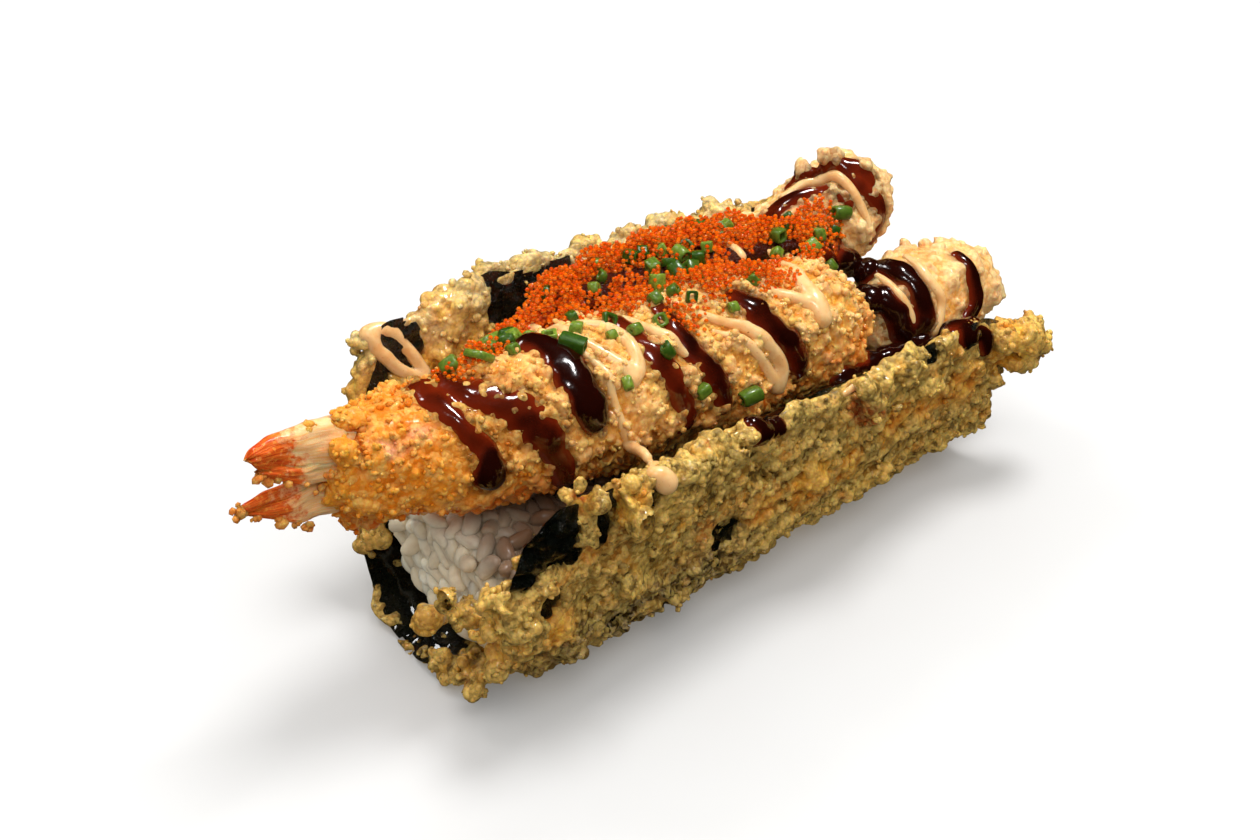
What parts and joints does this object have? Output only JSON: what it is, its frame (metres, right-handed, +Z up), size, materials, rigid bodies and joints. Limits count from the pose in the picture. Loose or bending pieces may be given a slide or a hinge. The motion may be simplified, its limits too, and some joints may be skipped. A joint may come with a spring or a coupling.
{
  "type": "sushi taco",
  "caption": "Fried nori and tempura batter shell folded into a long U, filled with sushi rice and tempura shrimps, topped with orange roe.",
  "frame": {"origin": "under the middle of the whole taco's box, on the surface that it rests on", "axes": "+X along the fold towards the end without the tail, +Y towards the higher wall, +Z up"},
  "size_m": [0.1732, 0.062, 0.0577],
  "materials": {
    "shell_batter": "crisp lumpy fried batter, olive gold over the dark nori",
    "nori": "crinkled dark green-black seaweed sheet, glossy with oil",
    "rice": "sticky white short rice, slightly translucent",
    "shrimp_crust": "golden peach fried tempura crust with fine crumbs",
    "shrimp_tail": "ridged cooked shrimp shell, red at the tip and pale pink at the root",
    "roe": "tiny glossy translucent orange eggs",
    "eel_sauce": "thick glossy dark brown-red sauce",
    "spicy_mayo": "smooth pale peach mayonnaise in piped strands",
    "scallion": "fresh green cut scallion rings"
  },
  "bodies": {
    "root": {"shell_outer_batter": "shell_batter", "nori_sheet": "nori", "shell_inner_batter": "shell_batter", "sushi_rice": "rice", "front_shrimp": "shrimp_crust", "back_shrimp": "shrimp_crust", "far_shrimp": "shrimp_crust", "tail_fin_upper": "shrimp_tail", "tail_fin_lower": "shrimp_tail", "roe_heap": "roe"}
  },
  "joints": []
}
